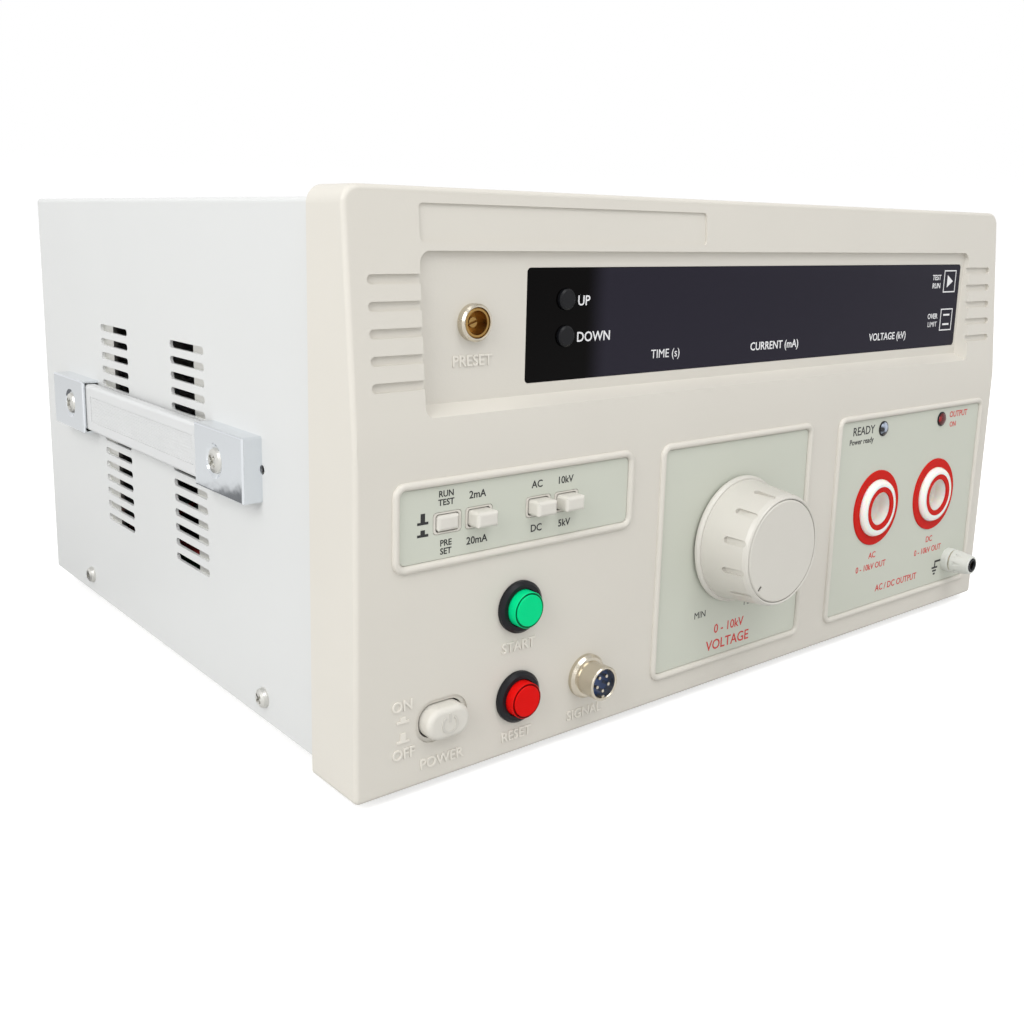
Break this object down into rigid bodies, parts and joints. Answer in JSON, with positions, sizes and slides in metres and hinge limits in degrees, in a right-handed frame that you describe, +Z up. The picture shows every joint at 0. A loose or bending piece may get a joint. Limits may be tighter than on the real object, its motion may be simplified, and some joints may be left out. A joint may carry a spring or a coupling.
{
  "type": "hipot tester",
  "caption": "Benchtop high-voltage withstand tester with moulded front, sheet-steel cabinet, side strap handles, voltage knob and output sockets.",
  "frame": {"origin": "middle of the footprint, on the plane that the feet stand on", "axes": "+Z up, front panel faces -Y, +X to the right as seen from the front"},
  "size_m": [0.3604, 0.3032, 0.184],
  "materials": {
    "bezel_plastic": null,
    "overlay_film": null,
    "painted_steel": "fine texture",
    "plated_steel": null,
    "foot_rubber": null,
    "strap_plastic": null,
    "chrome_plate": "polished",
    "tinted_window": "gloss",
    "circuit_board": null,
    "dark_plastic": null,
    "brass": null,
    "nickel": "polished",
    "blue_plastic": null,
    "key_plastic": null,
    "green_plastic": null,
    "red_plastic": null,
    "copper_wire": null,
    "cast_aluminium": null,
    "white_plastic": null,
    "clear_lamp": null,
    "red_lamp": null,
    "core_steel": null,
    "coil_tape": null,
    "red_silicone": null
  },
  "bodies": {
    "tester": {"front_bezel": "bezel_plastic", "panel_overlays": "overlay_film", "cabinet_cover": "painted_steel", "chassis_tray": "plated_steel", "rear_panel": "painted_steel", "rubber_feet": "foot_rubber", "case_screws": "plated_steel", "side_stiffeners": "plated_steel", "handle_straps": "strap_plastic", "handle_caps": "chrome_plate", "handle_screws": "plated_steel", "display_window": "tinted_window", "display_board": "circuit_board", "digit_modules": "dark_plastic", "tact_switches": "dark_plastic", "preset_bushing": "brass", "preset_nut": "nickel", "preset_pot_body": "blue_plastic", "switch_bank": "dark_plastic", "power_switch": "dark_plastic", "button_housings": "dark_plastic", "control_shell": "nickel", "control_insert": "blue_plastic", "control_pins": "brass", "variac_winding": "copper_wire", "variac_bracket": "cast_aluminium", "hv_socket_bodies": "white_plastic", "hv_socket_rings": "red_plastic", "hv_contacts": "brass", "lamp_holders": "dark_plastic", "safety_lamp": "clear_lamp", "hv_lamp": "red_lamp", "ground_base": "white_plastic", "ground_stud": "brass", "inlet_body": "dark_plastic", "inlet_pins": "brass", "transformer_core": "core_steel", "transformer_coil": "coil_tape", "control_board": "circuit_board", "board_parts": "blue_plastic", "mains_lead": "red_silicone"},
    "test_key": {"test_button": "key_plastic"},
    "current_key": {"current_button": "key_plastic"},
    "mode_key": {"mode_button": "key_plastic"},
    "voltage_key": {"voltage_button": "key_plastic"},
    "power_key": {"power_button": "key_plastic"},
    "start_cap": {"start_button": "green_plastic"},
    "reset_cap": {"reset_button": "red_plastic"},
    "timer_up": {"timer_up_button": "dark_plastic"},
    "timer_down": {"timer_down_button": "dark_plastic"},
    "regulator": {"regulator_knob": "key_plastic", "knob_disc": "key_plastic", "regulator_shaft": "plated_steel", "brush_arm": "brass"},
    "preset": {"preset_shaft": "brass"},
    "post_washer": {"ground_washer": "plated_steel"},
    "post_cap": {"ground_cap": "white_plastic"},
    "drawer": {"fuse_drawer": "dark_plastic"}
  },
  "joints": [
    {"name": "test_key_push", "type": "slide", "parent": "tester", "child": "test_key", "axis": [0, 1, 0], "range_m": [-0.004, 0]},
    {"name": "current_key_push", "type": "slide", "parent": "tester", "child": "current_key", "axis": [0, 1, 0], "range_m": [0, 0.004]},
    {"name": "mode_key_push", "type": "slide", "parent": "tester", "child": "mode_key", "axis": [0, 1, 0], "range_m": [0, 0.004]},
    {"name": "voltage_key_push", "type": "slide", "parent": "tester", "child": "voltage_key", "axis": [0, 1, 0], "range_m": [0, 0.004]},
    {"name": "power_key_push", "type": "slide", "parent": "tester", "child": "power_key", "axis": [0, 1, 0], "range_m": [0, 0.004]},
    {"name": "start_push", "type": "slide", "parent": "tester", "child": "start_cap", "axis": [0, 1, 0], "range_m": [0, 0.002], "stiffness_N_per_m": 900},
    {"name": "reset_push", "type": "slide", "parent": "tester", "child": "reset_cap", "axis": [0, 1, 0], "range_m": [0, 0.002], "stiffness_N_per_m": 900},
    {"name": "timer_up_push", "type": "slide", "parent": "tester", "child": "timer_up", "axis": [0, 1, 0], "range_m": [0, 0.0008], "stiffness_N_per_m": 900},
    {"name": "timer_down_push", "type": "slide", "parent": "tester", "child": "timer_down", "axis": [0, 1, 0], "range_m": [0, 0.0008], "stiffness_N_per_m": 900},
    {"name": "regulator_turn", "type": "hinge", "parent": "tester", "child": "regulator", "pos_m": [-0.007, -0.1294, 0.0595], "axis": [0, 1, 0], "range_deg": [0, 270]},
    {"name": "preset_turn", "type": "hinge", "parent": "tester", "child": "preset", "pos_m": [-0.1295, -0.123, 0.1448], "axis": [0, 1, 0], "range_deg": [-135, 135]},
    {"name": "post_lift", "type": "slide", "parent": "tester", "child": "post_washer", "axis": [0, -1, 0], "range_m": [0, 0.0042]},
    {"name": "post_turn", "type": "hinge", "parent": "post_washer", "child": "post_cap", "pos_m": [0.15, -0.1334, 0.024], "axis": [0, -1, 0], "range_deg": [0, 2160]},
    {"name": "drawer_pull", "type": "slide", "parent": "tester", "child": "drawer", "axis": [0, 1, 0], "range_m": [0, 0.018]}
  ],
  "couplings": [
    {"joint": "post_turn", "follows": "post_lift", "rad_per_m": 8976}
  ]
}
